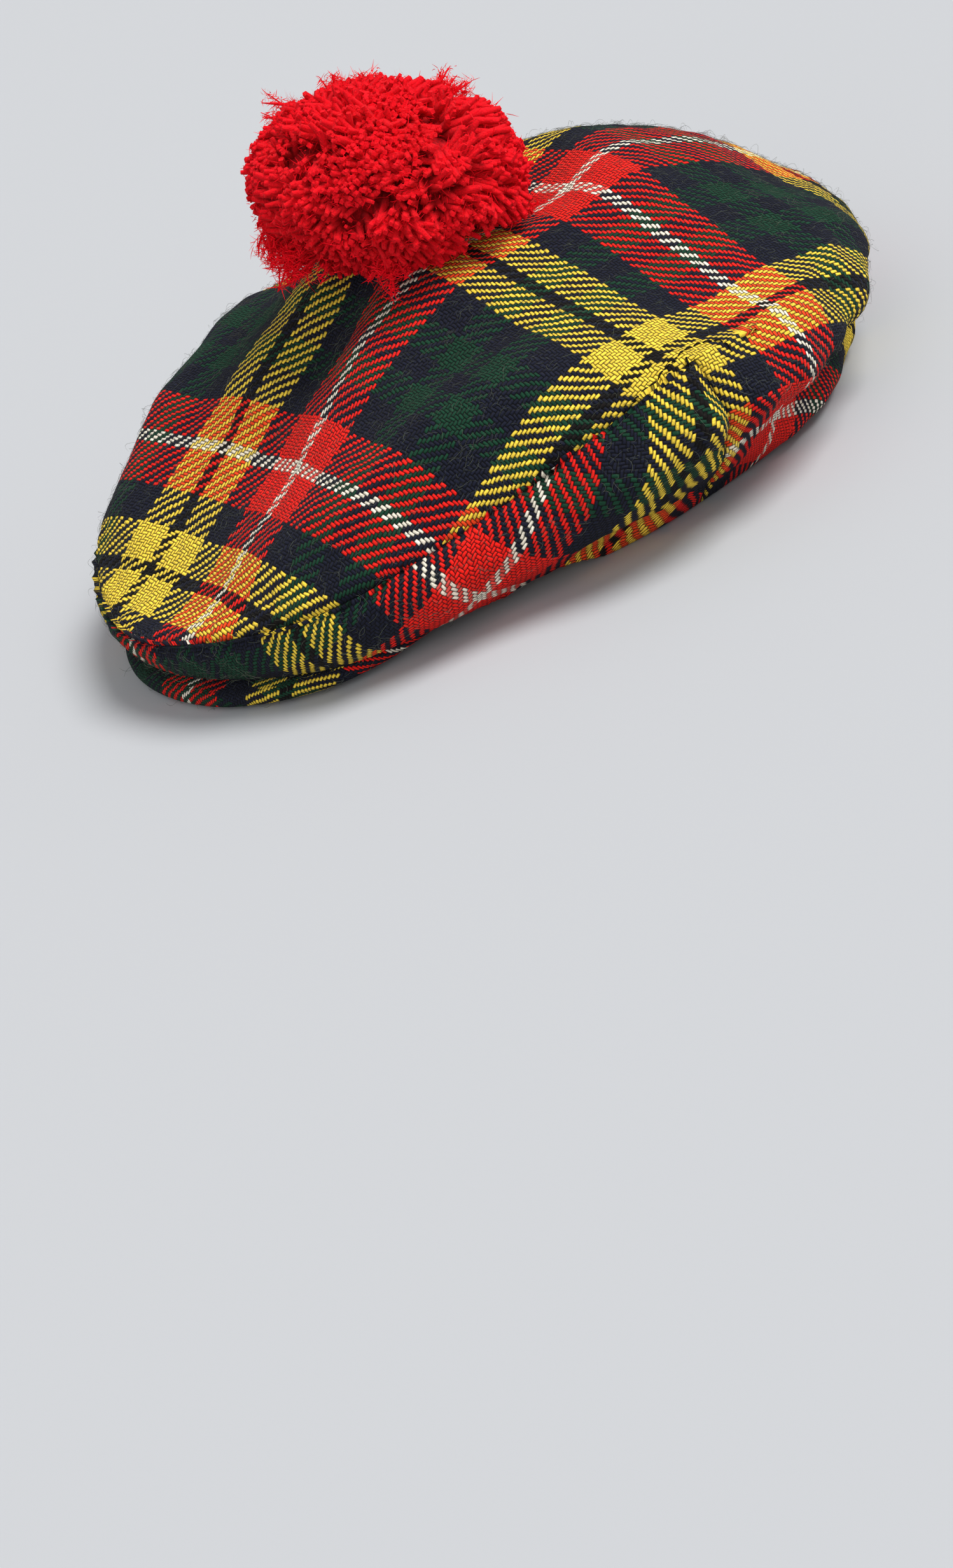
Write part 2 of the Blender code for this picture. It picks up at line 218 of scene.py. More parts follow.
def slopes_through(knots, values, first):
    """Slopes at knots: each is the mean of the spans beside it, weighted by nearness."""
    steps = np.diff(knots, axis=0)[..., None]
    spans = np.diff(values, axis=0) / steps
    slopes = [first]
    for k in range(1, len(spans)):
        before, after = steps[k - 1], steps[k]
        slopes.append((spans[k - 1] * after + spans[k] * before) / (before + after))
    slopes.append(spans[-1] * 1.5 - slopes[-1] * 0.5)
    return np.array(slopes)


def cubics(knots, values, slopes, at):
    """Read one cubic a column, by its values and slopes at its knots."""
    span = np.clip((at[None] > knots[:, None]).sum(0) - 1, 0, len(knots) - 2)
    column = np.broadcast_to(np.arange(at.shape[1]), at.shape)
    width = (knots[span + 1, column] - knots[span, column])[..., None]
    t = (at - knots[span, column])[..., None] / width
    return (values[span, column] * ((1 + 2 * t) * (1 - t) ** 2)
            + values[span + 1, column] * (t * t * (3 - 2 * t))
            + slopes[span, column] * (width * t * (1 - t) ** 2)
            + slopes[span + 1, column] * (width * t * t * (t - 1)))


def all_round(rows):
    """Rows of one side and their mirror image, in order round the cap."""
    near = np.array(rows)
    far = near[-2:0:-1] * ([-1] + [1] * (near.shape[1] - 1))
    return np.vstack([near, far])


CROWN_ROUND = all_round([
    [row.side * CROWN_HALF_WIDTH, row.length * (CROWN_FRONT if row.length < 0 else CROWN_BACK)]
    + [high * CROWN_HEIGHT for high in row[3:]] for row in SECTIONS])
ROLL_ROUND = all_round([(0.0,) + tuple(row[1:]) for row in ROLLS])


def opening_reach(direction):
    """Distance from the crown's middle to the rim of the head opening."""
    angle = np.radians(direction)
    across = np.sin(angle) / OPENING_HALF_WIDTH
    along_it = -np.cos(angle) / OPENING_HALF_LENGTH
    shift = OPENING_BACK / OPENING_HALF_LENGTH
    square = across ** 2 + along_it ** 2
    cross = -along_it * shift
    return (-cross + np.sqrt(cross ** 2 - square * (shift ** 2 - 1))) / square


def off_front(direction):
    """How many degrees a direction lies away from the front, on either side."""
    return np.abs((direction + 180.0) % 360.0 - 180.0)


def peak_depth(direction):
    """Depth of the peak, which narrows to a horn on each side."""
    direction = np.asarray(direction, float)
    turn = np.minimum(off_front(direction), HORN_END).reshape(1, -1)
    knots, shares = np.array(PEAK_DEPTHS).T[..., None] * np.ones(turn.size)
    slopes = slopes_through(knots, shares[..., None], np.zeros((turn.size, 1)))
    depth = PEAK_DEPTH * cubics(knots, shares[..., None], slopes, turn)
    return depth.reshape(direction.shape)


def peak_under(direction, reach):
    """Height of the peak's underside, which rests in front and rises to the rim and horns."""
    share = (opening_reach(direction) + peak_depth(direction) - reach) / PEAK_DEPTH
    inwards = np.sin(np.clip(share, 0.0, 1.0) * math.pi / 2)
    sideways = np.minimum(off_front(direction) / HORN_END, 1.0) ** 2
    return PEAK_RISE * inwards + HORN_RISE * sideways


def floor_under(points):
    """Height of what the roll lies on: the peak, the surface, or a ramp between the two."""
    direction = np.degrees(np.arctan2(points[..., 0], -points[..., 1]))
    reach = np.hypot(points[..., 0], points[..., 1])
    outwards = (reach - opening_reach(direction) - peak_depth(direction)) / RAMP
    round_horn = (off_front(direction) - HORN_END) / RAMP_TURN
    top = peak_under(direction, reach) + PEAK_THICKNESS + SEAM_GAP
    past_front, past_horn = smooth_step(outwards - RAMP_LEVEL), smooth_step(round_horn - RAMP_LEVEL)
    return top * (1.0 - past_front) * (1.0 - past_horn)


def along(direction, reach, height):
    """Points at these reaches and heights in these directions."""
    angle = np.radians(direction)
    return np.stack([reach * np.sin(angle), -reach * np.cos(angle), height + 0 * angle], axis=-1)


def crown_rows(direction):
    """Edge place of the crown in each direction, and the knots and heights of its cubic."""
    found = closed_spline(CROWN_ROUND, direction / SECTION_STEP)
    heights = np.vstack([np.full(len(direction), CROWN_HEIGHT), found[:, 2:].T])
    knots = np.array((0.0, CREST_AT, SLOPE_AT, SHOULDER_AT, 1.0))[:, None] + 0 * heights
    slopes = slopes_through(knots, heights[..., None], np.zeros((len(direction), 1)))
    return found[:, :2], knots, heights, slopes


def dome(direction, share):
    """Outer points of the crown, at shares of the way from its middle to its edge."""
    place, knots, heights, slopes = crown_rows(direction)
    share = share + 0 * direction
    height = cubics(knots, heights[..., None], slopes, share)
    return np.concatenate([place[None] * share[..., None], height], axis=-1)


def roll(direction, share):
    """Outer points of the roll, at shares of the way from the crown's edge to the rim."""
    place, _, heights, dome_slopes = crown_rows(direction)
    share = share + 0 * direction
    edge = np.column_stack([place, heights[-1]])
    outward = np.column_stack([unit(place), 0 * direction])
    station = closed_spline(ROLL_ROUND, direction / SECTION_STEP)
    points = [edge]
    for out, high in ((1, 2), (3, 4), (5, 6)):
        point = edge + outward * (station[:, out] * ROLL)[:, None]
        point[:, 2] = edge[:, 2] * station[:, high]
        points.append(point)
    turn = np.degrees(np.arctan2(place[:, 0], -place[:, 1]))
    rim = along(turn, opening_reach(turn), RIM_LIFT)
    sole = rim * SOLE_AT + points[-1] * (1.0 - SOLE_AT)
    sole[:, 2] = 0.0
    points = np.array(points + [sole, rim])
    lengths = run_lengths(points)
    corner = unit(points[1] - points[0])
    over = unit(np.column_stack([place, dome_slopes[-1, :, 0]]))
    smooth = smooth_step((off_front(direction) - DART) / (ROUND_FROM - DART))[:, None]
    slopes = slopes_through(lengths, points, unit(corner * (1 - smooth) + over * smooth))
    grid = cubics(lengths, points, slopes, share * lengths[-1])
    grid -= unit(grid * (1, 1, 0)) * fold_depth(direction, share)[..., None]
    grid[..., 2] = np.maximum(grid[..., 2], floor_under(grid))
    return grid


# How soon a fold comes to its full depth from either end.
FOLD_FULLNESS = 1.5


def fold_depth(direction, share):
    """How far the folds pull the roll in."""
    depth = 0.0
    for fold in FOLDS:
        across = smooth_step(1.0 - np.abs(off_front(direction) - fold.direction) / fold.spread)
        middle = (fold.start + fold.end) / 2
        reach = (fold.end - fold.start) / 2
        lengthwise = smooth_step(FOLD_FULLNESS * (1.0 - np.abs(share - middle) / reach))
        depth = depth + fold.depth * ROLL * across * lengthwise
    return depth


# Lattice over the crown: step, half size, and in how many directions the crown's edge is read.
LATTICE = 0.001
LATTICE_HALF = 0.140
EDGE_STEPS = 1441


def dome_lattice():
    """Heights of the crown over the lattice, and outside it the height of its edge."""
    count = round(2 * LATTICE_HALF / LATTICE) + 1
    line = np.linspace(-LATTICE_HALF, LATTICE_HALF, count)
    x, y = np.meshgrid(line, line, indexing="ij")
    fine = np.linspace(0.0, 360.0, EDGE_STEPS)
    place = crown_rows(fine)[0]
    real = np.unwrap(np.arctan2(place[:, 0], -place[:, 1]))
    turn = np.arctan2(x, -y).ravel() % (2 * math.pi)
    direction = np.interp(turn, real, fine)
    edge = np.interp(turn, real, np.hypot(place[:, 0], place[:, 1]))
    share = np.minimum(np.hypot(x, y).ravel() / edge, 1.0)
    return dome(direction, share[None])[0, :, 2].reshape(count, count)


def read_lattice(values, x, y):
    """Read a lattice between its points."""
    last = len(values) - 1.001
    i, j = (np.clip((place + LATTICE_HALF) / LATTICE, 0, last) for place in (x, y))
    a, b = np.floor(i).astype(int), np.floor(j).astype(int)
    i, j = i - a, j - b
    return ((values[a, b] * (1 - i) + values[a + 1, b] * i) * (1 - j)
            + (values[a, b + 1] * (1 - i) + values[a + 1, b + 1] * i) * j)


DOME_HEIGHTS = dome_lattice()


def arc_lattice(axis):
    """Length of cloth over the crown along an axis, from the line through the middle."""
    steps = np.hypot(np.diff(DOME_HEIGHTS, axis=axis), LATTICE)
    total = np.insert(steps.cumsum(axis), 0, 0.0, axis=axis)
    return total - np.take(total, [len(total) // 2], axis=axis)


ARC_SIDEWAYS, ARC_LENGTHWISE = arc_lattice(0), arc_lattice(1)


def grid_normals(grid, inside):
    """Normals of a grid of points, away from a point inside it."""
    normal = np.cross(np.gradient(grid, axis=0), np.gradient(grid, axis=1))
    length = np.linalg.norm(normal, axis=2, keepdims=True)
    normal /= np.maximum(length, 1e-12)
    if ((grid - inside) * normal).sum() < 0:
        normal = -normal
    return normal


# Soft unevenness is a sum of waves, about so high and so long.
Wave = namedtuple("Wave", "height length seed")
WAVE_COUNT = 9


def soft_waves(points, wave):
    """Smooth bumps in space, of about a wave's height and length."""
    chance = np.random.default_rng(wave.seed)
    total = np.zeros(points.shape[:-1])
    for _ in range(WAVE_COUNT):
        way = chance.normal(size=3)
        way *= 2 * math.pi / wave.length / np.linalg.norm(way) * chance.uniform(0.7, 1.4)
        total += np.sin(points @ way + chance.uniform(0, 2 * math.pi))
    return total * wave.height / math.sqrt(WAVE_COUNT)


# Seams draw the cloth in: how deep, how wide, and how far their two panels part.
SEAM_SINK = 0.0016
SEAM_WIDTH = 0.0013
SEAM_SLIT = 0.0001

# The cloth is full beside a seam: share of the seam's depth, distance from it, and width.
FULL_SHARE = 0.35
FULL_AT = 0.005
FULL_WIDTH = 0.0028

# The lip's seam fades out so many degrees before the dart, over so many degrees.
LIP_END = 3.0
LIP_FADE = 5.0

# Puckers of the lip's seam: height, how far they run out, and beats in radians a metre.
PUCKER = 0.00045
PUCKER_REACH = 0.009
LONG_BEAT = 880.0
SHORT_BEAT = 1370.0
SLOW_BEAT = 210.0

# Seam of the dart: share of the other seam's depth, where it starts and ends, and its fade.
DART_SHARE = 0.7
DART_START = 0.001
DART_LENGTH = 0.055
DART_FADE = 0.03

# Gathers before the dart: height, degrees from it, spread, start and reach down.
GATHER = 0.0007
GATHER_BEFORE = 6.0
GATHER_SPREAD = 6.5
GATHER_START = 0.004
GATHER_REACH = 0.024

# All cloth is uneven, and cloth that hangs has waves drawn out downwards.
COARSE = Wave(0.0007, 0.040, 1)
FINE = Wave(0.00022, 0.011, 2)
HANGING = Wave(0.0009, 0.022, 4)
HANG_FROM = 72.0
HANG_TURN = 60.0
HANG_START = 0.01
HANG_DRAW = 0.35

# Relief is whole where the cloth is so far above what it rests on.
REST_FADE = 0.006
INSIDE = np.array((0.0, 0.0, CROWN_HEIGHT * 0.35))

DIRECTIONS = np.linspace(-180.0, 180.0, COLUMNS + 1)
DART_COLUMN = round(DART / 360.0 * COLUMNS)
BAND = slice(COLUMNS // 2 - DART_COLUMN, COLUMNS // 2 + DART_COLUMN + 1)


def crown_form():
    """The crown in rows from its middle to the rim, before the cloth's own relief."""
    above = 1.0 - np.linspace(1.0, 0.0, DOME_ROWS + 1)[:, None] ** ROWS_GATHER
    below = np.linspace(0.0, 1.0, ROLL_ROWS + 1)[1:, None] ** ROWS_GATHER
    return np.concatenate([dome(DIRECTIONS, above), roll(DIRECTIONS, below)])


def below_edge(form):
    """Length of the cloth down from the crown's edge, and less than nothing above it."""
    run = run_lengths(form)
    return run - run[DOME_ROWS]


def seam_dip(distance):
    """Relief beside a seam, drawn in along it and full next to it."""
    full = FULL_SHARE * np.exp(-((distance - FULL_AT) / FULL_WIDTH) ** 2)
    return SEAM_SINK * (full - np.exp(-(distance / SEAM_WIDTH) ** 2))


def cloth_relief(form):
    """How far seams, puckers, gathers and unevenness lift the cloth off its form."""
    below = below_edge(form)
    turn = off_front(DIRECTIONS)[None]
    past_dart = turn - DART
    edge = form[DOME_ROWS]
    lip = 1.0 - smooth_step((past_dart + LIP_END) / LIP_FADE)
    relief = seam_dip(np.abs(below)) * lip
    run = run_lengths(edge)[None]
    beats = np.sin(run * LONG_BEAT + 1.3 * np.sin(run * SLOW_BEAT))
    beats += 0.6 * np.sin(run * SHORT_BEAT + 2.0)
    relief += PUCKER * beats * lip * np.exp(-np.abs(below) / PUCKER_REACH)
    dart = np.radians(np.abs(past_dart)) * np.hypot(edge[:, 0], edge[:, 1])
    down_dart = smooth_step((below + DART_START) / (2 * DART_START))
    down_dart *= 1.0 - smooth_step((below - DART_LENGTH) / DART_FADE)
    relief += DART_SHARE * seam_dip(dart) * down_dart
    gathers = np.sin(past_dart * 1.9 + below * 60.0) + 0.5 * np.sin(past_dart * 3.1 + 1.0)
    gathers *= np.exp(-((past_dart + GATHER_BEFORE) / GATHER_SPREAD) ** 2)
    gathers *= smooth_step(below / GATHER_START) * np.exp(-np.abs(below) / GATHER_REACH)
    hang = smooth_step((turn - HANG_FROM) / HANG_TURN) * smooth_step(below / HANG_START)
    relief += GATHER * gathers + hang * soft_waves(form * (1, 1, HANG_DRAW), HANGING)
    return relief + soft_waves(form, COARSE) + soft_waves(form, FINE)


def crown_cloth():
    """Points of the crown without and with its relief, which fades where the cloth rests."""
    form = crown_form()
    normal = grid_normals(form, INSIDE)
    normal[0] = (0, 0, 1)
    normal[:, 0] = normal[:, -1]
    resting = smooth_step((form[..., 2] - floor_under(form)) / REST_FADE)
    grid = form + normal * (cloth_relief(form) * resting)[..., None]
    grid[0] = form[0]
    grid[:, 0] = grid[:, -1]
    below = grid[DOME_ROWS:]
    below[..., 2] = np.maximum(below[..., 2], floor_under(below))
    return form, grid


def top_threads(form):
    """Thread counts of the top cloth, which rolls over the edge with its square weave."""
    x, y = form[..., 0], form[..., 1]
    lengthwise = read_lattice(ARC_LENGTHWISE, x, y)
    sideways = read_lattice(ARC_SIDEWAYS, x, y)
    outward = unit(form[DOME_ROWS, :, :2])
    hang = below_edge(form)[DOME_ROWS:]
    lengthwise[DOME_ROWS:] = lengthwise[DOME_ROWS] + hang * outward[:, 1]
    sideways[DOME_ROWS:] = sideways[DOME_ROWS] + hang * outward[:, 0]
    return np.stack([lengthwise, sideways], axis=-1) / THREAD + TOP_THREADS


def band_threads(form):
    """Thread counts of the side band, cut on a curve from a straight cloth."""
    band = form[DOME_ROWS:, BAND] / THREAD
    run = run_lengths(band, 1)[0]
    run -= run[DART_COLUMN]
    drop = run_lengths(band)
    line = np.arange(-SEAM_HALF, SEAM_HALF + 1.0)
    knots, turn, pace = np.array(GRAINS).T
    turn, pace = np.radians(np.interp(line, knots, turn)), np.interp(line, knots, pace)
    across = (-np.sin(turn) * pace).cumsum()
    along_seam = (np.cos(turn) * pace).cumsum()
    turn, across, along_seam = (np.interp(run, line, found) for found in (turn, across, along_seam))
    across += BAND_THREADS[0] - across[DART_COLUMN]
    along_seam += BAND_THREADS[1] - along_seam[DART_COLUMN]
    return np.stack([across - drop * np.cos(turn), along_seam - drop * np.sin(turn)], axis=-1)


def mesh_from(name, shape):
    mesh = bpy.data.meshes.new(name)
    shape.to_mesh(mesh)
    shape.free()
    return mesh


def in_scene(name, data):
    thing = bpy.data.objects.new(name, data)
    bpy.context.scene.collection.objects.link(thing)
    return thing


def show(name, mesh, material):
    """Put a finished mesh into the scene as a piece of the cap."""
    mesh.shade_smooth()
    mesh.transform(Matrix.Translation(MIDDLE))
    mesh.materials.append(material)
    piece = in_scene(name, mesh)
    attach(piece, "root")
    return piece


def cloth_panel(name, points, threads, cloth, kept=None, closed=False):
    """A grid laid on rows of points, with its thread counts as its UV map."""
    rows, columns = points.shape[:2]
    sheet = bmesh.new()
    bmesh.ops.create_grid(sheet, x_segments=columns - 1, y_segments=rows - 1, size=1.0)
    layer = sheet.loops.layers.uv.new("threads")
    spots = {}
    for vertex in sheet.verts:
        row = round((vertex.co.y + 1.0) / 2 * (rows - 1))
        column = round((vertex.co.x + 1.0) / 2 * (columns - 1))
        spots[vertex] = row, column
        vertex.co = points[row, column]
        for loop in vertex.link_loops:
            loop[layer].uv = threads[row, column]
    if kept is not None:
        gone = [face for face in sheet.faces
                if not kept[min(spots[corner] for corner in face.verts)]]
        bmesh.ops.delete(sheet, geom=gone, context="FACES")
    bmesh.ops.remove_doubles(sheet, verts=sheet.verts, dist=0.00001)
    if closed:
        ends = [edge for edge in sheet.edges if edge.is_boundary]
        bmesh.ops.holes_fill(sheet, edges=ends, sides=0)
    bmesh.ops.recalc_face_normals(sheet, faces=sheet.faces)
    highest = max(sheet.verts, key=lambda vertex: vertex.co.z)
    if highest.normal.z < 0:
        bmesh.ops.reverse_faces(sheet, faces=sheet.faces)
    return show(name, mesh_from(name, sheet), cloth)


def crown_panels(tartan):
    """The top cloth and the side band, parted along the lip and down the darts."""
    form, grid = crown_cloth()
    kept = np.ones((len(grid) - 1, COLUMNS), dtype=bool)
    kept[DOME_ROWS:, BAND.start:BAND.stop - 1] = False
    top = cloth_panel("top_panel", grid, top_threads(form), tartan, kept)
    band = grid[DOME_ROWS:, BAND].copy()
    band[0] += unit(band[1] - band[0]) * SEAM_SLIT
    for end, inner in ((0, 1), (-1, -2)):
        band[:, end] += unit(band[:, inner] - band[:, end]) * SEAM_SLIT
    side = cloth_panel("side_panel", band, band_threads(form), tartan)
    for piece, node in ((top, "crown_top"), (side, "crown_side")):
        wall = piece.modifiers.new("cloth", "SOLIDIFY")
        wall.thickness = CLOTH
        wall.offset = -1.0
        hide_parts(node)
    return grid, top, side


# Peak cloth: thread counts under the cap's middle, and threads in each millimetre.
PEAK_THREADS = (-51.8, 71.0)
PEAK_PACE = 1.25
PEAK_COLUMNS = 150
PEAK_ROWS_FLAT = 22
PEAK_ROWS_NOSE = 8
PEAK_WAVE = Wave(0.0002, 0.02, 8)
PEAK_REST_FADE = 0.004


def peak_panel(tartan):
    """The peak: a closed strip of cloth wound round the stiff plate."""
    direction = np.linspace(-HORN_END, HORN_END, PEAK_COLUMNS + 1)
    depth = peak_depth(direction)
    outer = opening_reach(direction) + depth
    nose = np.minimum(PEAK_THICKNESS, depth) / 2
    inner, front = outer - depth + nose, outer - nose
    flat = [inner + (front - inner) * step for step in np.linspace(0.0, 1.0, PEAK_ROWS_FLAT)]
    bend = [(math.cos(angle), 0.5 + 0.5 * math.sin(angle), angle)
            for angle in np.linspace(-math.pi / 2, math.pi / 2, PEAK_ROWS_NOSE + 2)[1:-1]]
    rows = [(reach, 0.0, outer * 2 - reach) for reach in flat]
    rows += [(front + nose * out, rise, outer - nose * angle) for out, rise, angle in bend]
    rows += [(reach, 1.0, reach) for reach in flat[::-1]]
    rows += [(inner - nose * out, rise, inner - nose * out) for out, rise, _ in bend[::-1]]
    rows.append(rows[0])
    points, unrolled = [], []
    for reach, rise, flat_reach in rows:
        height = peak_under(direction, np.clip(reach, inner, front)) + PEAK_THICKNESS * rise
        points.append(along(direction, reach, height))
        unrolled.append(along(direction, flat_reach, 0.0)[:, :2])
    points, unrolled = np.array(points), np.array(unrolled) / THREAD
    threads = PEAK_THREADS - unrolled[..., ::-1] * PEAK_PACE
    points[..., 2] += soft_waves(points, PEAK_WAVE) * smooth_step(points[..., 2] / PEAK_REST_FADE)
    points[..., 2] = np.maximum(points[..., 2], 0.0)
    peak = cloth_panel("peak_cloth", points, threads, tartan, closed=True)
    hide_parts("peak")
    return points


# Strands of the pompom: number, half width, where they start, scatter of their ways and lengths,
# and widths along them.
STRANDS = 4400
STRAND_HALF = 0.0011
STRAND_POINTS = 6
STRAND_START = 0.30
STRAND_JITTER = 0.03
STRAND_UNEVEN = 0.014
STRAND_TAPER = (0.7, 0.9, 1.1, 1.2, 1.15, 0.7)

# Locks of strands: number, how far they draw together, scatter of their ways and lengths.
LOCKS = 240
LOCK_PULL = 0.25
LOCK_JITTER = 0.10
LOCK_UNEVEN = 0.022

# How strands sweep aside and wobble.
SWEEP = 0.40
SWEEP_START = 0.35
SWEEP_POWER = 1.6
LOCK_SWEEP = 0.85
STRAND_SWEEP = 0.25
WOBBLE = 0.028
WOBBLE_BEAT = 13.0

# The ball: its size, the tied middle, its fullness in height, and its droop over the crown.
POMPOM_HALF = np.array((POMPOM_WIDTH, POMPOM_WIDTH, POMPOM_HEIGHT)) / 2
POMPOM_CENTRE = np.array((0.0, 0.0, CROWN_HEIGHT + POMPOM_HEIGHT / 2 - POMPOM_SINK))
TIED = 0.12
FULLNESS = 1.08
DROOP = 0.5
SEAT_REACH = 0.09
BALL_SHARE = 0.945
BALL_WAVE = Wave(0.02, 0.9, 31)
CORE_SHARE = 0.72
CORE_WAVE = Wave(0.03, 0.02, 5)

# Where the ball is fuller or flatter: which way, how much of its reach, and how wide.
LOBES = table(
    "x y z swell spread",
    (0.38, 0.92, 0.10, 0.06, 0.45), (-0.30, -0.92, -0.05, -0.08, 0.60),
    (-0.10, 0.30, 0.95, 0.03, 0.40), (0.65, 0.25, -0.70, -0.09, 0.55),
    (0.20, -0.55, -0.80, -0.06, 0.45), (-0.30, 0.45, 0.80, -0.05, 0.22),
    (0.45, 0.85, -0.30, 0.05, 0.25),
)


def spread_ways(count, chance, jitter):
    """Ways spread evenly over a ball, each a little off its place."""
    index = np.arange(count) + 0.5
    up = 1.0 - 2.0 * index / count
    angle = index * math.pi * (3.0 - math.sqrt(5.0))
    flat = np.sqrt(1.0 - up ** 2)
    ways = np.stack([flat * np.cos(angle), flat * np.sin(angle), up], axis=1)
    return unit(ways + chance.normal(scale=jitter, size=ways.shape))


LEAN_TURN = Matrix.Rotation(math.radians(POMPOM_LEAN_TOWARDS), 3, "Z")
LEAN = Matrix.Rotation(math.radians(POMPOM_LEAN), 3, "X")
LEAN = np.array(LEAN_TURN @ LEAN @ LEAN_TURN.inverted())


def seated(points, clearance):
    """Lay points that would fall into the crown on top of it."""
    points = points.copy()
    near = np.hypot(points[..., 0], points[..., 1]) < SEAT_REACH
    seat = read_lattice(DOME_HEIGHTS, points[..., 0], points[..., 1]) + clearance
    points[..., 2] = np.where(near, np.maximum(points[..., 2], seat), points[..., 2])
    return points


def pompom_reach(ways):
    """Reach of the ball in each direction, as a share of its half size."""
    reach = np.full(len(ways), BALL_SHARE)
    for lobe in LOBES:
        off = 1.0 - ways @ unit(np.array(lobe[:3]))
        reach += lobe.swell * np.exp(-off / lobe.spread ** 2)
    return reach


def pompom_strands(chance):
    """Curved strands from the tied middle, in locks that lie over each other."""
    ways = spread_ways(STRANDS, chance, STRAND_JITTER)
    middles = spread_ways(LOCKS, chance, LOCK_JITTER)
    lock = (ways @ middles.T).argmax(1)
    length = pompom_reach(ways) + soft_waves(ways, BALL_WAVE)
    length += chance.normal(scale=STRAND_UNEVEN, size=STRANDS)
    length += chance.normal(scale=LOCK_UNEVEN, size=LOCKS)[lock]
    sweep = np.stack([soft_waves(ways, Wave(0.4, 1.2, seed)) for seed in (44, 45, 46)], axis=1)
    sweep += chance.normal(scale=LOCK_SWEEP, size=middles.shape)[lock]
    sweep += chance.normal(scale=STRAND_SWEEP, size=ways.shape)
    sweep -= (sweep * ways).sum(1, keepdims=True) * ways
    share = np.linspace(STRAND_START, 1.0, STRAND_POINTS)[:, None, None]
    swing = np.clip((share - SWEEP_START) / (1.0 - SWEEP_START), 0.0, 1.0) ** SWEEP_POWER
    ball = ways * length[:, None] * share
    ball += (sweep * SWEEP + (middles[lock] - ways) * LOCK_PULL) * swing
    wobble = WOBBLE * chance.normal(size=ways.shape)
    ball += wobble * np.sin(share * WOBBLE_BEAT + chance.uniform(0, 6, (1, STRANDS, 1)))
    limit = length[:, None] * (TIED + (1.0 - TIED) * share)
    ball *= np.minimum(1.0, limit / np.linalg.norm(ball, axis=2, keepdims=True))
    points = ball * POMPOM_HALF * (1, 1, FULLNESS) @ LEAN.T + POMPOM_CENTRE
    out = np.hypot(points[..., 0], points[..., 1])
    points[..., 2] -= DROOP * out ** 2 * share[..., 0]
    return seated(points, STRAND_HALF * 0.9)


# Tufts that stand out: which way, how many thin strands and how far.
TUFTS = table(
    "x y z strands reach",
    (-0.10, 0.69, 0.71, 22, 0.0050), (-0.50, 0.06, 0.86, 16, 0.0035),
    (-0.60, -0.32, 0.73, 10, 0.0030), (0.55, 0.73, -0.40, 28, 0.0075),
    (-0.29, -0.90, -0.33, 14, 0.0020), (0.10, -0.78, -0.60, 26, 0.0050),
    (-0.80, 0.55, 0.20, 12, 0.0030), (0.70, -0.50, -0.50, 8, 0.0015),
)
TUFT_HALF = 0.00045
TUFT_SPREAD = 0.07
TUFT_ROOT = 0.76
TUFT_RISE = 0.18
TUFT_BEND = 0.0045
TUFT_WOBBLE = 0.0009
TUFT_BEAT = 11.0
TUFT_TAPER = (1.2, 1.2, 1.1, 1.0, 0.8, 0.3)


def tuft_strands(chance):
    """Loose wavy strands that stand out of the ball in a few places."""
    share = np.linspace(0.0, 1.0, STRAND_POINTS)[:, None]
    made = []
    for tuft in TUFTS:
        centre = unit(np.array(tuft[:3]))
        lean = np.cross(centre, chance.normal(size=3))
        for _ in range(tuft.strands):
            way = unit(centre + chance.normal(scale=TUFT_SPREAD, size=3))
            past = tuft.reach * chance.uniform(0.2, 1.0)
            strand = way * POMPOM_HALF * (TUFT_ROOT + TUFT_RISE * share) + way * past * share
            strand += (1.2 * lean + 0.6 * chance.normal(size=3)) * TUFT_BEND * share ** 2
            wobble = TUFT_WOBBLE * chance.normal(size=3)
            made.append(strand + wobble * np.sin(share * TUFT_BEAT + chance.uniform(0.0, 6.0)))
    return seated(np.array(made).transpose(1, 0, 2) @ LEAN.T + POMPOM_CENTRE, TUFT_HALF)


def pompom_core(yarn):
    """A solid middle, which keeps light from passing between the strands."""
    core = bmesh.new()
    size = Matrix.Diagonal((*POMPOM_HALF * CORE_SHARE, 1.0))
    bmesh.ops.create_icosphere(core, subdivisions=4, radius=1.0, matrix=size)
    places = np.array([vertex.co for vertex in core.verts])
    places *= (1.0 + soft_waves(places, CORE_WAVE))[:, None]
    for vertex, place in zip(core.verts, seated(places @ LEAN.T + POMPOM_CENTRE, GAP)):
        vertex.co = place
    # The core wears the red wool, so it is mostly the dark painted-shade red of the ball's middle.
    piece = show("pompom_core", mesh_from("pompom_core", core), yarn)


def strands_piece(name, points, half, taper, wool, round_ends=True, uneven=0.0):
    """One mesh of tapered strands, from curves that follow rows of points."""
    chance = np.random.default_rng(points.shape[1])
    curve = bpy.data.curves.new(name, "CURVE")
    curve.dimensions = "3D"
    curve.bevel_resolution = 0
    if round_ends:
        curve.bevel_depth = half
        curve.use_fill_caps = True
    else:
        curve.extrude = half
    count = len(points)
    for strand in range(points.shape[1]):
        spline = curve.splines.new("POLY")
        spline.points.add(count - 1)
        places = np.column_stack([points[:, strand], np.ones(count)])
        spline.points.foreach_set("co", places.ravel())
        widths = taper * chance.uniform(1.0 - uneven, 1.0 + uneven, count)
        spline.points.foreach_set("radius", widths)
    made = bpy.data.objects.new(name, curve)
    mesh = bpy.data.meshes.new_from_object(made)
    bpy.data.objects.remove(made)
    mesh.name = name
    return show(name, mesh, wool)


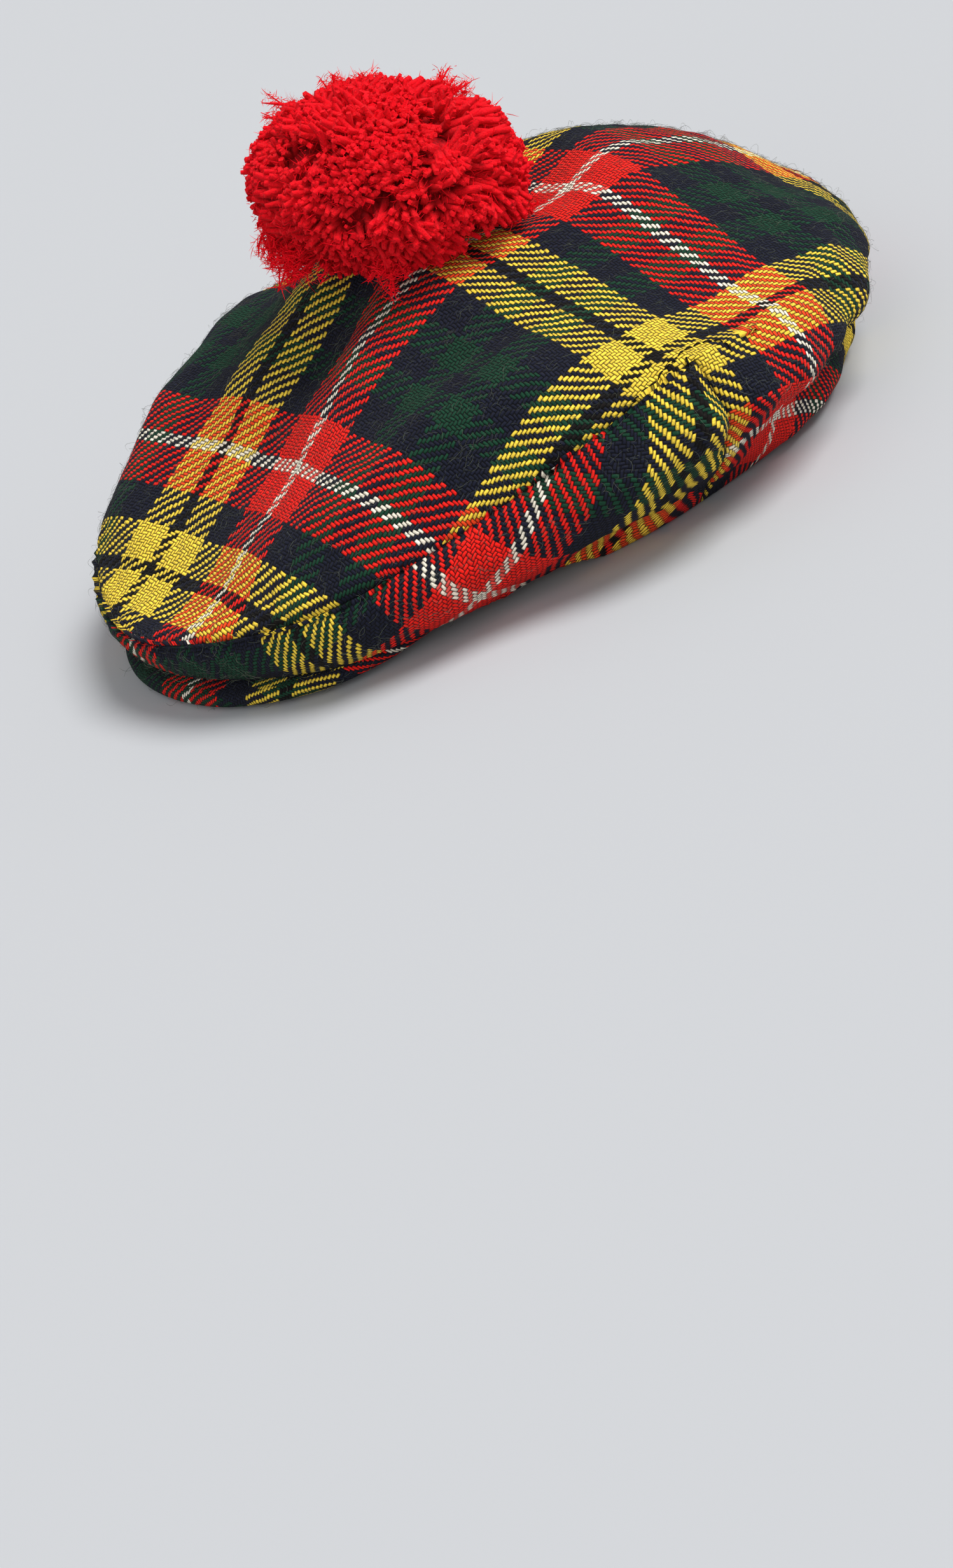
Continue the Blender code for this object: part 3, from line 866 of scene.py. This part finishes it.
# Fine fibres of the yarn in each of two meshes: number, half width, lengths, how far they stray
# and bend, and how near the crown they lie.
FIBRES = 24000
FIBRE_HALF = 0.00012
FIBRE_REACH = (0.0008, 0.0026)
FIBRE_STRAY = 0.6
FIBRE_BEND = 0.8
FIBRE_CLEARANCE = 0.0004
FIBRE_TAPER = (0.8, 1.0, 0.8, 0.2)


def yarn_fibres(name, points, chance, wool):
    """Fine fibres that run along the strands and stray from them."""
    picked = chance.integers(0, points.shape[1], FIBRES)
    place = chance.uniform(0.35, 1.0, FIBRES) ** 0.6
    start = place * (STRAND_POINTS - 1)
    low = np.minimum(start.astype(int), STRAND_POINTS - 2)
    way = points[low + 1, picked] - points[low, picked]
    root = points[low, picked] + way * (start - low)[:, None]
    way = unit(way)
    root += np.cross(way, chance.normal(size=way.shape)) * STRAND_HALF * 0.7
    heading = unit(0.8 * way + chance.normal(scale=FIBRE_STRAY, size=way.shape))
    reach = (chance.uniform(*FIBRE_REACH, FIBRES) * (1.2 - 0.6 * place ** 4))[:, None]
    bend = chance.normal(scale=FIBRE_BEND, size=way.shape) - 0.5 * way
    step = np.linspace(0.0, 1.0, len(FIBRE_TAPER))[:, None, None]
    fibres = seated(root + heading * reach * step + bend * reach * step ** 2, FIBRE_CLEARANCE)
    return strands_piece(name, fibres, FIBRE_HALF, FIBRE_TAPER, wool, round_ends=False)


def pompom(yarn, fuzz):
    """The whole pompom: core, strands, tufts and fine fibres."""
    chance = np.random.default_rng(17)
    points, tufts = pompom_strands(chance), tuft_strands(chance)
    pompom_core(yarn)
    strands = strands_piece("pompom_yarn", points, STRAND_HALF, STRAND_TAPER, yarn, uneven=0.22)
    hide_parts("pompom")
    loose = strands_piece("pompom_tufts", tufts, TUFT_HALF, TUFT_TAPER, yarn, uneven=0.3)
    both = np.concatenate([points] + [tufts] * 4, axis=1)
    for name in ("pompom_fibres", "pompom_wisps"):
        hair = yarn_fibres(name, both, chance, fuzz)


# Loose fibres of the cloth: number by panel, half width, lengths, curl in radians, how far they
# lift, and the share that lifts farther.
FUZZ = {"top_panel": 8000, "side_panel": 2600, "peak_cloth": 700}
FUZZ_HALF = 0.000035
FUZZ_REACH = (0.0015, 0.0055)
FUZZ_CURL = 2.2
LEAST_CURL = 0.05
FUZZ_LIFT = (0.0002, 0.0011)
STRAY_LIFT = 0.0020
STRAY_SHARE = 0.18
FUZZ_TAPER = (0.7, 1.0, 1.0, 1.0, 0.8, 0.4)


def cloth_fuzz(name, points, wool):
    """Curly fibres that lie on a cloth and lift a little."""
    count = FUZZ[name]
    chance = np.random.default_rng(count)
    across = np.diff(points, axis=1)[:-1]
    down = np.diff(points, axis=0)[:, :-1]
    normal = np.cross(across, down)
    area = np.linalg.norm(normal, axis=2)
    picked = chance.choice(area.size, count, p=(area / area.sum()).ravel())
    row, column = np.divmod(picked, area.shape[1])
    a, b = chance.random((2, count, 1))
    root = points[row, column] + across[row, column] * a + down[row, column] * b
    normal = normal[row, column] / area[row, column][:, None]
    middle = points.reshape(-1, 3).mean(0) * (1, 1, 0.5)
    normal *= np.sign(((root - middle) * normal).sum(1, keepdims=True))
    aside = unit(np.cross(normal, chance.normal(size=normal.shape)))
    other = np.cross(normal, aside)
    reach = chance.uniform(*FUZZ_REACH, (count, 1))
    curl = chance.normal(scale=FUZZ_CURL, size=(count, 1))
    lift = chance.uniform(*FUZZ_LIFT, (count, 1)) * chance.random((count, 1))
    lift += STRAY_LIFT * chance.random((count, 1)) * (chance.random((count, 1)) < STRAY_SHARE)
    step = np.linspace(0.0, 1.0, len(FUZZ_TAPER))[:, None, None]
    turn = curl * step
    bent = np.where(np.abs(curl) < LEAST_CURL, LEAST_CURL, curl)
    fibres = root + (aside * np.sin(turn) + other * (1 - np.cos(turn))) / bent * reach
    fibres += normal * (0.0001 + lift * np.sin(step * math.pi * 0.9))
    fibres[..., 2] = np.maximum(fibres[..., 2], 2 * FUZZ_HALF)
    hair = strands_piece(name + "_fuzz", fibres, FUZZ_HALF, FUZZ_TAPER, wool, round_ends=False)


# Stitching round the end of each dart: direction and millimetres above the crown's edge.
DART_STITCHES = table(
    "direction rise",
    (83.0, 1.7), (88.0, 2.0), (92.0, 3.0), (95.5, 4.4),
    (98.5, 4.0), (100.5, 2.0), (101.2, -1.5), (100.8, -6.0),
)
STITCH_LENGTH = 0.0026
STITCH_GAP = 0.0006
STITCH_HALF = 0.00024

# Each stitch dips into the cloth at both ends, in half widths, and narrows there.
STITCH_ARCH = np.array((-0.2, 1.6, 2.0, 1.6, -0.2))
STITCH_TAPER = (0.8, 1.0, 1.0, 1.0, 0.8)


def cloth_places(grid, direction, rise):
    """Points on the crown's cloth at directions and heights of cloth above its edge."""
    below = below_edge(grid)
    column = (direction + 180.0) / 360.0 * COLUMNS
    places = []
    for at, high in zip(column, rise):
        low = int(at)
        here, there = (np.array([np.interp(-high, below[:, k], axis) for axis in grid[:, k].T])
                       for k in (low, low + 1))
        places.append(here * (1 - at + low) + there * (at - low))
    return np.array(places)


def dart_stitching(grid, thread):
    """Short stitches in a line over the end of each dart."""
    knots = range(len(DART_STITCHES))
    fine = np.linspace(0, knots[-1], 240)
    direction, rise = (np.interp(fine, knots, column) for column in np.array(DART_STITCHES).T)
    dashes = []
    for side in (1.0, -1.0):
        path = cloth_places(grid, side * direction, rise * THREAD)
        run = run_lengths(path)
        for start in np.arange(0.0, run[-1] - STITCH_LENGTH, STITCH_LENGTH + STITCH_GAP):
            at = start + np.linspace(0.0, STITCH_LENGTH, len(STITCH_TAPER))
            dashes.append(np.stack([np.interp(at, run, axis) for axis in path.T], axis=1))
    stitches = np.array(dashes).transpose(1, 0, 2)
    off_cloth = unit(stitches * (1, 1, 0)) * 0.5 + (0.0, 0.0, 0.85)
    stitches += off_cloth * STITCH_ARCH[:, None, None] * STITCH_HALF
    piece = strands_piece("dart_stitches", stitches, STITCH_HALF, STITCH_TAPER, thread)


def linear(colour):
    """A colour as a screen shows it, turned into light."""
    light = [c / 12.92 if c < 0.04045 else ((c + 0.055) / 1.055) ** 2.4 for c in colour]
    return *light, 1.0


def feed(tree, node, inputs):
    """Give a node's inputs their values or links, by name or by place."""
    for key, value in inputs.items():
        if isinstance(value, bpy.types.NodeSocket):
            tree.links.new(value, node.inputs[key])
        else:
            node.inputs[key].default_value = value
    return node


def placed(tree, kind, inputs=(), **settings):
    """A new shader node with its settings and inputs."""
    node = tree.nodes.new("ShaderNode" + kind)
    for name, value in settings.items():
        setattr(node, name, value)
    return feed(tree, node, dict(inputs))


def maths(tree, operation, *values):
    """A sum of numbers or sockets, as a socket."""
    return placed(tree, "Math", enumerate(values), operation=operation).outputs[0]


def ranged(tree, value, *ends, kind="SMOOTHSTEP"):
    """A value moved from one range to another, or to 0 and 1."""
    return placed(tree, "MapRange", enumerate((value, *ends)), interpolation_type=kind).outputs[0]


def mixed(tree, factor, first, second):
    """Two colours mixed by a factor."""
    return placed(tree, "Mix", {0: factor, 6: first, 7: second}, data_type="RGBA").outputs[2]


def chosen(tree, factor, first, second):
    """One of two numbers, or a mix of them."""
    return placed(tree, "Mix", {0: factor, 2: first, 3: second}, data_type="FLOAT").outputs[0]


def toned(tree, colour, brightness):
    """A colour made brighter or darker."""
    return placed(tree, "HueSaturation", {"Value": brightness, "Color": colour}).outputs[0]


def noise_at(tree, vector, scale, detail=2.0, roughness=0.5):
    """Value and colour of a soft noise."""
    inputs = {"Vector": vector, "Scale": scale, "Detail": detail, "Roughness": roughness}
    return placed(tree, "TexNoise", inputs).outputs


def new_group(name, inputs, outputs):
    """An empty node group with named sockets, and its two ends."""
    group = bpy.data.node_groups.new(name, "ShaderNodeTree")
    for way, sockets in (("INPUT", inputs), ("OUTPUT", outputs)):
        for label, kind in sockets.items():
            group.interface.new_socket(name=label, in_out=way, socket_type="NodeSocket" + kind)
    return group, group.nodes.new("NodeGroupInput"), group.nodes.new("NodeGroupOutput")


# Brightness of single threads.
THREAD_TONES = (0.84, 1.14)


def sett_group():
    """Colour of a thread by its number in the sett, each a little its own."""
    group, given, result = new_group(
        "sett colour", {"Thread": "Float", "Seed": "Float"}, {"Colour": "Color"})
    number, seed = given.outputs["Thread"], given.outputs["Seed"]
    turns = maths(group, "DIVIDE", maths(group, "ADD", number, 0.5), float(REPEAT))
    ramp = placed(group, "ValToRGB", {0: maths(group, "FRACT", turns)})
    ramp.color_ramp.interpolation = "CONSTANT"
    start = 0
    for k, stripe in enumerate(SETT):
        stops = ramp.color_ramp.elements
        stop = stops[k] if k < 2 else stops.new(start / REPEAT)
        stop.position = start / REPEAT
        stop.color = linear(YARNS[stripe.yarn])
        start += stripe.threads
    both = placed(group, "CombineXYZ", {0: number, 1: seed}).outputs[0]
    own = placed(group, "TexWhiteNoise", {"Vector": both}, noise_dimensions="2D")
    tone = ranged(group, own.outputs["Value"], 0.0, 1.0, *THREAD_TONES, kind="LINEAR")
    feed(group, result, {"Colour": toned(group, ramp.outputs[0], tone)})
    return group


# Weave: how far threads wander, how round they are, and how far a bright thread takes on the
# colour that it crosses.
WANDER = (1.3, 1.3, 0.0)
WANDER_SCALE = 0.22
ROUND_ACROSS = 2.2
ROUND_ALONG = 3.0
BLEED = 0.10

# Height of threads and fibres, and the ranges of painted shade between threads, mottle and haze,
# from and to.
ROUND_HIGH = 0.8
FIBRE_HIGH = 0.45
FIBRE_SHADE = 0.25
PAINTED_GAP_SHADE = (0.15, 0.75, 0.10, 1.12)
MOTTLE = (0.25, 0.75, 0.78, 1.18)
HAZE = (0.52, 0.80, 0.0, 0.05)
HAZE_COLOUR = (0.50, 0.50, 0.44)


def rounded(tree, share, power):
    """Height across a thread: one in its middle, nought at both edges."""
    out = maths(tree, "ABSOLUTE", maths(tree, "MULTIPLY_ADD", share, 2.0, -1.0))
    return maths(tree, "SUBTRACT", 1.0, maths(tree, "POWER", out, power))


def twill_group(sett):
    """Colour and height of a cloth whose threads pass over two and under two, with painted shade
    between the threads.
    """
    group, given, result = new_group(
        "tartan twill", {"Threads": "Vector"}, {"Colour": "Color", "Height": "Float"})
    times, plus, minus = (partial(maths, group, way) for way in ("MULTIPLY", "ADD", "SUBTRACT"))
    threads = given.outputs["Threads"]
    noise = {0: noise_at(group, threads, WANDER_SCALE, 1.0)[1], 1: (0.5, 0.5, 0.5)}
    drift = placed(group, "VectorMath", noise, operation="SUBTRACT").outputs[0]
    moved = placed(group, "VectorMath", {0: drift, 1: WANDER, 2: threads},
                   operation="MULTIPLY_ADD").outputs[0]
    places = placed(group, "SeparateXYZ", {0: moved}).outputs[:2]
    numbers = [maths(group, "FLOOR", place) for place in places]
    first_part, second_part = (maths(group, "FRACT", place) for place in places)
    phase = maths(group, "FLOORED_MODULO", minus(*numbers), 4.0)
    first_over = maths(group, "LESS_THAN", phase, 1.5)
    across = chosen(group, first_over, second_part, first_part)
    first_way = plus(minus(1.0, phase), second_part)
    second_way = plus(minus(phase, 2.0), first_part)
    way = times(chosen(group, first_over, second_way, first_way), 0.5)
    first, second = (
        placed(group, "Group", {"Thread": number, "Seed": seed}, node_tree=sett).outputs[0]
        for number, seed in zip(numbers, (3.0, 8.0)))
    over, under = mixed(group, first_over, second, first), mixed(group, first_over, first, second)
    redness = placed(group, "SeparateColor", {0: over}).outputs[0]
    colour = mixed(group, times(redness, BLEED), over, under)
    bead = times(rounded(group, across, ROUND_ACROSS), rounded(group, way, ROUND_ALONG))
    fibre = noise_at(group, threads, 2.6, 4.0, 0.65)[0]
    strand = noise_at(group, threads, 0.9, 3.0, 0.6)[0]
    height = plus(times(bead, ROUND_HIGH), times(fibre, FIBRE_HIGH))
    # Painted shade: each thread darkens towards its edges and ends, and the gaps between threads
    # are darkest.
    depth = plus(bead, times(fibre, FIBRE_SHADE))
    tone = times(ranged(group, depth, *PAINTED_GAP_SHADE), ranged(group, fibre, *MOTTLE, kind="LINEAR"))
    haze = ranged(group, strand, *HAZE)
    fuzzy = mixed(group, haze, toned(group, colour, tone), linear(HAZE_COLOUR))
    feed(group, result, {"Colour": fuzzy, "Height": height})
    return group


def new_material(name, roughness, sheen=0.0):
    material = bpy.data.materials.new(name)
    material.use_nodes = True
    tree = material.node_tree
    values = {"Roughness": roughness, "Specular IOR Level": 0.15,
              "Sheen Weight": sheen, "Sheen Roughness": 0.5}
    return material, tree, feed(tree, tree.nodes["Principled BSDF"], values)


def add_bump(tree, shader, height, distance):
    bump = placed(tree, "Bump", {"Distance": distance, "Height": height})
    feed(tree, shader, {"Normal": bump.outputs[0]})


def tartan_cloth(twill):
    """The tartan, woven by the thread counts in each cloth's UV map."""
    material, tree, shader = new_material("tartan_cloth", 0.92, sheen=0.015)
    threads = placed(tree, "UVMap", uv_map="threads").outputs[0]
    weave = placed(tree, "Group", {"Threads": threads}, node_tree=twill)
    feed(tree, shader, {"Base Color": weave.outputs["Colour"]})
    add_bump(tree, shader, weave.outputs["Height"], 0.0006)
    return material


# Red wool: its colour deep in the ball, which is painted shade between the strands, at the tips,
# and in warmer patches.
PAINTED_SHADE_RED = (0.50, 0.01, 0.04)
TIP_RED = (1.0, 0.035, 0.12)
WARM_RED = (0.93, 0.03, 0.08)


def red_wool():
    """Red wool: painted shade deep between the strands, bright at their tips."""
    material, tree, shader = new_material("red_wool", 0.9, sheen=0.02)
    spot = placed(tree, "TexCoord").outputs["Object"]
    ball = {"Vector": spot, "Location": MIDDLE + Vector(POMPOM_CENTRE),
            "Rotation": Matrix(LEAN.tolist()).to_euler(), "Scale": Vector(POMPOM_HALF)}
    centred = placed(tree, "Mapping", ball, vector_type="TEXTURE").outputs[0]
    far = placed(tree, "VectorMath", {0: centred}, operation="LENGTH").outputs["Value"]
    # Painted shade: the wool darkens towards the ball's middle, where shade falls between the
    # strands.
    colour = mixed(tree, ranged(tree, far, 0.62, 0.95), linear(PAINTED_SHADE_RED), linear(TIP_RED))
    patches = ranged(tree, noise_at(tree, spot, 90.0)[0], 0.35, 0.7, 0.0, 0.5)
    warm = mixed(tree, patches, colour, linear(WARM_RED))
    fibre = noise_at(tree, spot, 1500.0, 4.0, 0.7)[0]
    tone = ranged(tree, fibre, 0.3, 0.7, 0.75, 1.15, kind="LINEAR")
    feed(tree, shader, {"Base Color": toned(tree, warm, tone)})
    add_bump(tree, shader, fibre, 0.0008)
    return material


def plain_wool(name, colour):
    """Fine fibres and sewing thread: one colour with a fibrous unevenness."""
    material, tree, shader = new_material(name, 0.9)
    spot = placed(tree, "TexCoord").outputs["Object"]
    tone = ranged(tree, noise_at(tree, spot, 900.0)[0], 0.3, 0.7, 0.8, 1.15, kind="LINEAR")
    feed(tree, shader, {"Base Color": toned(tree, linear(colour), tone)})
    return material


tartan = tartan_cloth(twill_group(sett_group()))
grid, top, side = crown_panels(tartan)
peak_points = peak_panel(tartan)
lint = plain_wool("loose_fibres", (0.36, 0.38, 0.33))
cloth_fuzz("top_panel", grid[:DOME_ROWS + 1], lint)
cloth_fuzz("side_panel", grid[DOME_ROWS:DOME_ROWS + ROLL_ROWS // 2], lint)
cloth_fuzz("peak_cloth", peak_points, lint)
dart_stitching(grid, plain_wool("dark_thread", (0.07, 0.05, 0.04)))
pompom(red_wool(), plain_wool("red_fibres", (0.98, 0.05, 0.13)))


def stage():
    """A plain pale floor that runs out of sight."""
    floor = bmesh.new()
    bmesh.ops.create_grid(floor, x_segments=1, y_segments=1, size=6.0)
    ground = in_scene("floor", mesh_from("floor", floor))
    material, _, shader = new_material("pale_floor", 0.9)
    shader.inputs["Base Color"].default_value = linear((0.70, 0.705, 0.715))
    ground.data.materials.append(material)


def soft_light(name, way, spread, strength):
    """Even light that comes from one side, with soft shadows."""
    lamp = bpy.data.lights.new(name, "SUN")
    lamp.angle = spread
    lamp.energy = strength
    in_scene(name, lamp).rotation_euler = Vector(way).to_track_quat("Z", "Y").to_euler()


# Camera: place over the crown's middle, its right and up, and the lens for a frame 24 mm high.
CAMERA_AT = Vector((0.7138, -0.3950, 0.3541))
CAMERA_RIGHT = Vector((0.5732, 0.7423, -0.3471))
CAMERA_UP = Vector((-0.2264, 0.5505, 0.8036))
FRAME_HIGH = 24.0
LENS = 44.45


def camera():
    lens = bpy.data.cameras.new("camera")
    lens.sensor_fit = "VERTICAL"
    lens.sensor_height = FRAME_HIGH
    lens.lens = LENS
    right = CAMERA_RIGHT.normalized()
    back = right.cross(CAMERA_UP).normalized()
    turn = Matrix((right, back.cross(right), back)).transposed().to_4x4()
    holder = in_scene("camera", lens)
    holder.matrix_world = Matrix.Translation(CAMERA_AT + MIDDLE) @ turn
    bpy.context.scene.camera = holder


def lights():
    """A pale studio with a soft light from behind and a weaker one from the front."""
    bpy.context.scene.view_settings.view_transform = "Standard"
    world = bpy.data.worlds.new("studio")
    world.use_nodes = True
    sky = world.node_tree.nodes["Background"]
    feed(world.node_tree, sky, {"Color": linear((0.92, 0.93, 0.94)), "Strength": 0.55})
    bpy.context.scene.world = world
    soft_light("key", (0.45, 0.65, 1.3), 0.55, 3.3)
    soft_light("fill", (0.9, -0.9, 0.7), 1.0, 0.9)


stage()
lights()
camera()
